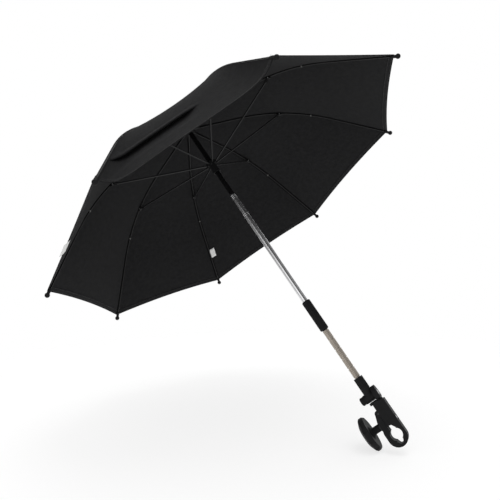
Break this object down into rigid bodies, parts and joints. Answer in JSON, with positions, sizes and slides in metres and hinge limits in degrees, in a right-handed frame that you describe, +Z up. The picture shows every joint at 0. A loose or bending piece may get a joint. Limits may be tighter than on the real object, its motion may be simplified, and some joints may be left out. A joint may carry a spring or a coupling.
{
  "type": "pram parasol",
  "caption": "Folding pram parasol: domed cloth canopy on hinged ribs and stretchers, telescopic shaft, gooseneck, tilt joint, swivel, and a pincer clamp tightened by a round knob.",
  "frame": {"origin": "Middle of the tube held in the clamp, half way along the jaws.", "axes": "+Y along the clamped tube, +Z up along the shaft, -X towards the clamp knob."},
  "size_m": [0.688, 0.688, 0.6926],
  "materials": {
    "black_plastic": "satin black moulding",
    "bright_steel": "zinc-plated",
    "neck_metal": "champagne-plated, finely ridged",
    "shaft_chrome": "bright chrome",
    "rib_steel": "black enamel",
    "stretcher_steel": "light grey enamel",
    "canopy_cloth": "plain-woven black cloth, hemmed"
  },
  "bodies": {
    "clamp": {"clamp_body": "black_plastic", "jaw_pin": "bright_steel", "clamp_nut": "bright_steel", "swivel_screw": "bright_steel"},
    "jaw": {"clamp_jaw": "black_plastic"},
    "screw_carrier": {"clamp_washer": "bright_steel"},
    "knob": {"clamp_knob": "black_plastic", "clamp_screw": "bright_steel"},
    "swivel": {"swivel_head": "black_plastic", "tilt_bolt": "bright_steel"},
    "tilt_lock": {"tilt_knob": "black_plastic"},
    "tilt_arm": {"tilt_sleeve": "black_plastic"},
    "neck_1": {"neck_link_1": "neck_metal"},
    "neck_2": {"neck_link_2": "neck_metal"},
    "neck_3": {"neck_link_3": "neck_metal"},
    "neck_4": {"neck_link_4": "neck_metal"},
    "neck_5": {"neck_link_5": "neck_metal"},
    "handle": {"connector_sleeve": "black_plastic", "lower_tube": "shaft_chrome"},
    "middle_shaft": {"middle_tube": "shaft_chrome"},
    "upper_shaft": {"upper_tube": "shaft_chrome", "top_notch": "black_plastic", "crown_wire": "bright_steel", "top_cap": "black_plastic", "runner_catch": "bright_steel"},
    "runner_slider": {"runner": "black_plastic"},
    "rib_arm_1": {"rib_1": "rib_steel", "rib_tip_1": "black_plastic", "canopy_panel_1": "canopy_cloth"},
    "stretcher_arm_1": {"stretcher_1": "stretcher_steel"},
    "rib_arm_2": {"rib_2": "rib_steel", "rib_tip_2": "black_plastic", "canopy_panel_2": "canopy_cloth"},
    "stretcher_arm_2": {"stretcher_2": "stretcher_steel"},
    "rib_arm_3": {"rib_3": "rib_steel", "rib_tip_3": "black_plastic", "canopy_panel_3": "canopy_cloth"},
    "stretcher_arm_3": {"stretcher_3": "stretcher_steel"},
    "rib_arm_4": {"rib_4": "rib_steel", "rib_tip_4": "black_plastic", "canopy_panel_4": "canopy_cloth"},
    "stretcher_arm_4": {"stretcher_4": "stretcher_steel"},
    "rib_arm_5": {"rib_5": "rib_steel", "rib_tip_5": "black_plastic", "canopy_panel_5": "canopy_cloth"},
    "stretcher_arm_5": {"stretcher_5": "stretcher_steel"},
    "rib_arm_6": {"rib_6": "rib_steel", "rib_tip_6": "black_plastic", "canopy_panel_6": "canopy_cloth"},
    "stretcher_arm_6": {"stretcher_6": "stretcher_steel"},
    "rib_arm_7": {"rib_7": "rib_steel", "rib_tip_7": "black_plastic", "canopy_panel_7": "canopy_cloth"},
    "stretcher_arm_7": {"stretcher_7": "stretcher_steel"},
    "rib_arm_8": {"rib_8": "rib_steel", "rib_tip_8": "black_plastic", "canopy_panel_8": "canopy_cloth"},
    "stretcher_arm_8": {"stretcher_8": "stretcher_steel"}
  },
  "joints": [
    {"name": "screw_feed", "type": "slide", "parent": "clamp", "child": "screw_carrier", "axis": [-1, 0, 0], "range_m": [0, 0.012]},
    {"name": "knob_turn", "type": "hinge", "parent": "screw_carrier", "child": "knob", "pos_m": [0, 0, 0.0203], "axis": [-1, 0, 0], "range_deg": [0, 1800]},
    {"name": "jaw_open", "type": "hinge", "parent": "clamp", "child": "jaw", "pos_m": [-0.0055, 0, 0.038], "axis": [0, 1, 0], "range_deg": [0, 22]},
    {"name": "swivel_turn", "type": "hinge", "parent": "clamp", "child": "swivel", "pos_m": [0.0016, 0, 0.0563], "axis": [0, 0, 1], "continuous": true},
    {"name": "tilt_knob_turn", "type": "hinge", "parent": "swivel", "child": "tilt_lock", "pos_m": [0, 0, 0.0648], "axis": [-1, 0, 0], "range_deg": [0, 360]},
    {"name": "tilt", "type": "hinge", "parent": "swivel", "child": "tilt_arm", "pos_m": [0, 0, 0.0648], "axis": [1, 0, 0], "range_deg": [-90, 90]},
    {"name": "neck_bend_x", "type": "hinge", "parent": "tilt_arm", "child": "neck_1", "pos_m": [-0.0014, 0, 0.0998], "axis": [1, 0, 0], "range_deg": [-14, 14]},
    {"name": "neck_bend_y", "type": "hinge", "parent": "neck_1", "child": "neck_2", "pos_m": [-0.0014, 0, 0.11742], "axis": [0, 1, 0], "range_deg": [-14, 14]},
    {"name": "neck_bend_x2", "type": "hinge", "parent": "neck_2", "child": "neck_3", "pos_m": [-0.0014, 0, 0.13504], "axis": [1, 0, 0], "range_deg": [-14, 14]},
    {"name": "neck_bend_y2", "type": "hinge", "parent": "neck_3", "child": "neck_4", "pos_m": [-0.0014, 0, 0.15266], "axis": [0, 1, 0], "range_deg": [-14, 14]},
    {"name": "neck_bend_x3", "type": "hinge", "parent": "neck_4", "child": "neck_5", "pos_m": [-0.0014, 0, 0.17028], "axis": [1, 0, 0], "range_deg": [-14, 14]},
    {"name": "neck_bend_y3", "type": "hinge", "parent": "neck_5", "child": "handle", "pos_m": [-0.0014, 0, 0.1879], "axis": [0, 1, 0], "range_deg": [-14, 14]},
    {"name": "middle_slide", "type": "slide", "parent": "handle", "child": "middle_shaft", "axis": [0, 0, 1], "range_m": [-0.03, 0.06]},
    {"name": "upper_slide", "type": "slide", "parent": "middle_shaft", "child": "upper_shaft", "axis": [0, 0, 1], "range_m": [0, 0.06]},
    {"name": "runner_slide", "type": "slide", "parent": "upper_shaft", "child": "runner_slider", "axis": [0, 0, 1], "range_m": [-0.242, 0], "deforming": ["canopy_panel_1", "canopy_panel_2", "canopy_panel_3", "canopy_panel_4", "canopy_panel_5", "canopy_panel_6", "canopy_panel_7", "canopy_panel_8", "runner_catch"]},
    {"name": "rib_fold_1", "type": "hinge", "parent": "upper_shaft", "child": "rib_arm_1", "pos_m": [0.00734, -0.00213, 0.6268], "axis": [0.2368, 0.9715, 0], "range_deg": [0, 58.1]},
    {"name": "stretcher_fold_1", "type": "hinge", "parent": "rib_arm_1", "child": "stretcher_arm_1", "pos_m": [0.16808, -0.04132, 0.58556], "axis": [0.2368, 0.9715, 0], "range_deg": [-116.2, 0]},
    {"name": "rib_fold_2", "type": "hinge", "parent": "upper_shaft", "child": "rib_arm_2", "pos_m": [0.00629, 0.00468, 0.6268], "axis": [-0.5195, 0.8545, 0], "range_deg": [0, 58.1]},
    {"name": "stretcher_fold_2", "type": "hinge", "parent": "rib_arm_2", "child": "stretcher_arm_2", "pos_m": [0.14766, 0.09063, 0.58556], "axis": [-0.5195, 0.8545, 0], "range_deg": [-116.2, 0]},
    {"name": "rib_fold_3", "type": "hinge", "parent": "upper_shaft", "child": "rib_arm_3", "pos_m": [0.00073, 0.00874, 0.6268], "axis": [-0.9715, 0.2368, 0], "range_deg": [0, 58.1]},
    {"name": "stretcher_fold_3", "type": "hinge", "parent": "rib_arm_3", "child": "stretcher_arm_3", "pos_m": [0.03992, 0.16948, 0.58556], "axis": [-0.9715, 0.2368, 0], "range_deg": [-116.2, 0]},
    {"name": "rib_fold_4", "type": "hinge", "parent": "upper_shaft", "child": "rib_arm_4", "pos_m": [-0.00608, 0.00769, 0.6268], "axis": [-0.8545, -0.5195, 0], "range_deg": [0, 58.1]},
    {"name": "stretcher_fold_4", "type": "hinge", "parent": "rib_arm_4", "child": "stretcher_arm_4", "pos_m": [-0.09203, 0.14906, 0.58556], "axis": [-0.8545, -0.5195, 0], "range_deg": [-116.2, 0]},
    {"name": "rib_fold_5", "type": "hinge", "parent": "upper_shaft", "child": "rib_arm_5", "pos_m": [-0.01014, 0.00213, 0.6268], "axis": [-0.2368, -0.9715, 0], "range_deg": [0, 58.1]},
    {"name": "stretcher_fold_5", "type": "hinge", "parent": "rib_arm_5", "child": "stretcher_arm_5", "pos_m": [-0.17088, 0.04132, 0.58556], "axis": [-0.2368, -0.9715, 0], "range_deg": [-116.2, 0]},
    {"name": "rib_fold_6", "type": "hinge", "parent": "upper_shaft", "child": "rib_arm_6", "pos_m": [-0.00909, -0.00468, 0.6268], "axis": [0.5195, -0.8545, 0], "range_deg": [0, 58.1]},
    {"name": "stretcher_fold_6", "type": "hinge", "parent": "rib_arm_6", "child": "stretcher_arm_6", "pos_m": [-0.15046, -0.09063, 0.58556], "axis": [0.5195, -0.8545, 0], "range_deg": [-116.2, 0]},
    {"name": "rib_fold_7", "type": "hinge", "parent": "upper_shaft", "child": "rib_arm_7", "pos_m": [-0.00353, -0.00874, 0.6268], "axis": [0.9715, -0.2368, 0], "range_deg": [0, 58.1]},
    {"name": "stretcher_fold_7", "type": "hinge", "parent": "rib_arm_7", "child": "stretcher_arm_7", "pos_m": [-0.04272, -0.16948, 0.58556], "axis": [0.9715, -0.2368, 0], "range_deg": [-116.2, 0]},
    {"name": "rib_fold_8", "type": "hinge", "parent": "upper_shaft", "child": "rib_arm_8", "pos_m": [0.00328, -0.00769, 0.6268], "axis": [0.8545, 0.5195, 0], "range_deg": [0, 58.1]},
    {"name": "stretcher_fold_8", "type": "hinge", "parent": "rib_arm_8", "child": "stretcher_arm_8", "pos_m": [0.08923, -0.14906, 0.58556], "axis": [0.8545, 0.5195, 0], "range_deg": [-116.2, 0]}
  ],
  "couplings": [
    {"joint": "screw_feed", "follows": "knob_turn", "m_per_rad": 0.00038197},
    {"joint": "jaw_open", "follows": "knob_turn", "ratio": 0.012222},
    {"joint": "rib_fold_1", "follows": "runner_slide", "rad_per_m": -4.1902},
    {"joint": "stretcher_fold_1", "follows": "runner_slide", "rad_per_m": 8.3804},
    {"joint": "rib_fold_2", "follows": "runner_slide", "rad_per_m": -4.1902},
    {"joint": "stretcher_fold_2", "follows": "runner_slide", "rad_per_m": 8.3804},
    {"joint": "rib_fold_3", "follows": "runner_slide", "rad_per_m": -4.1902},
    {"joint": "stretcher_fold_3", "follows": "runner_slide", "rad_per_m": 8.3804},
    {"joint": "rib_fold_4", "follows": "runner_slide", "rad_per_m": -4.1902},
    {"joint": "stretcher_fold_4", "follows": "runner_slide", "rad_per_m": 8.3804},
    {"joint": "rib_fold_5", "follows": "runner_slide", "rad_per_m": -4.1902},
    {"joint": "stretcher_fold_5", "follows": "runner_slide", "rad_per_m": 8.3804},
    {"joint": "rib_fold_6", "follows": "runner_slide", "rad_per_m": -4.1902},
    {"joint": "stretcher_fold_6", "follows": "runner_slide", "rad_per_m": 8.3804},
    {"joint": "rib_fold_7", "follows": "runner_slide", "rad_per_m": -4.1902},
    {"joint": "stretcher_fold_7", "follows": "runner_slide", "rad_per_m": 8.3804},
    {"joint": "rib_fold_8", "follows": "runner_slide", "rad_per_m": -4.1902},
    {"joint": "stretcher_fold_8", "follows": "runner_slide", "rad_per_m": 8.3804}
  ]
}
